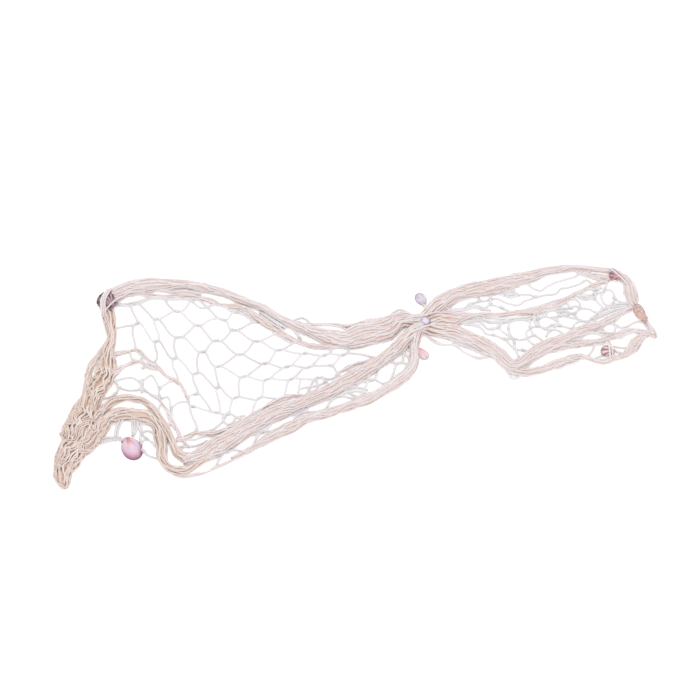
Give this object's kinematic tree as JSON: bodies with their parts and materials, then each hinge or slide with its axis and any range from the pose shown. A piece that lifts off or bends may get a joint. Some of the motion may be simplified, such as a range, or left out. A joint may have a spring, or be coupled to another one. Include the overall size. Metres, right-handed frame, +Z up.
{
  "type": "decorative fishing net",
  "caption": "Knotted cotton fishing net with sea shells, gathered to a waist and laid in an uneven hourglass, for decorating a wall or table.",
  "frame": {"origin": "middle of the laid net's plan box, on the surface it lies on", "axes": "+X along the hourglass from the wide wing to the narrow wing, +Y across it towards the top edge of the picture, +Z up"},
  "size_m": [0.9616, 0.4022, 0.031],
  "materials": {
    "cotton_twine": "undyed twisted cotton",
    "shell_plum": "satin ribbed shell",
    "shell_pink": "polished shell",
    "shell_lavender": "satin shell",
    "shell_blue_lavender": "satin shell",
    "shell_pale_pink": "satin ribbed shell",
    "shell_dusty_red": "satin ribbed shell",
    "shell_peach": "satin ribbed shell",
    "shell_striped_red": "satin ribbed shell"
  },
  "bodies": {
    "root": {"net": "cotton_twine", "scallop_corner": "shell_plum", "clam_round": "shell_pink", "clam_pale": "shell_lavender", "clam_waist": "shell_blue_lavender", "cockle_pink": "shell_pale_pink", "scallop_end": "shell_dusty_red", "scallop_edge": "shell_peach", "scallop_striped": "shell_striped_red"}
  },
  "joints": []
}
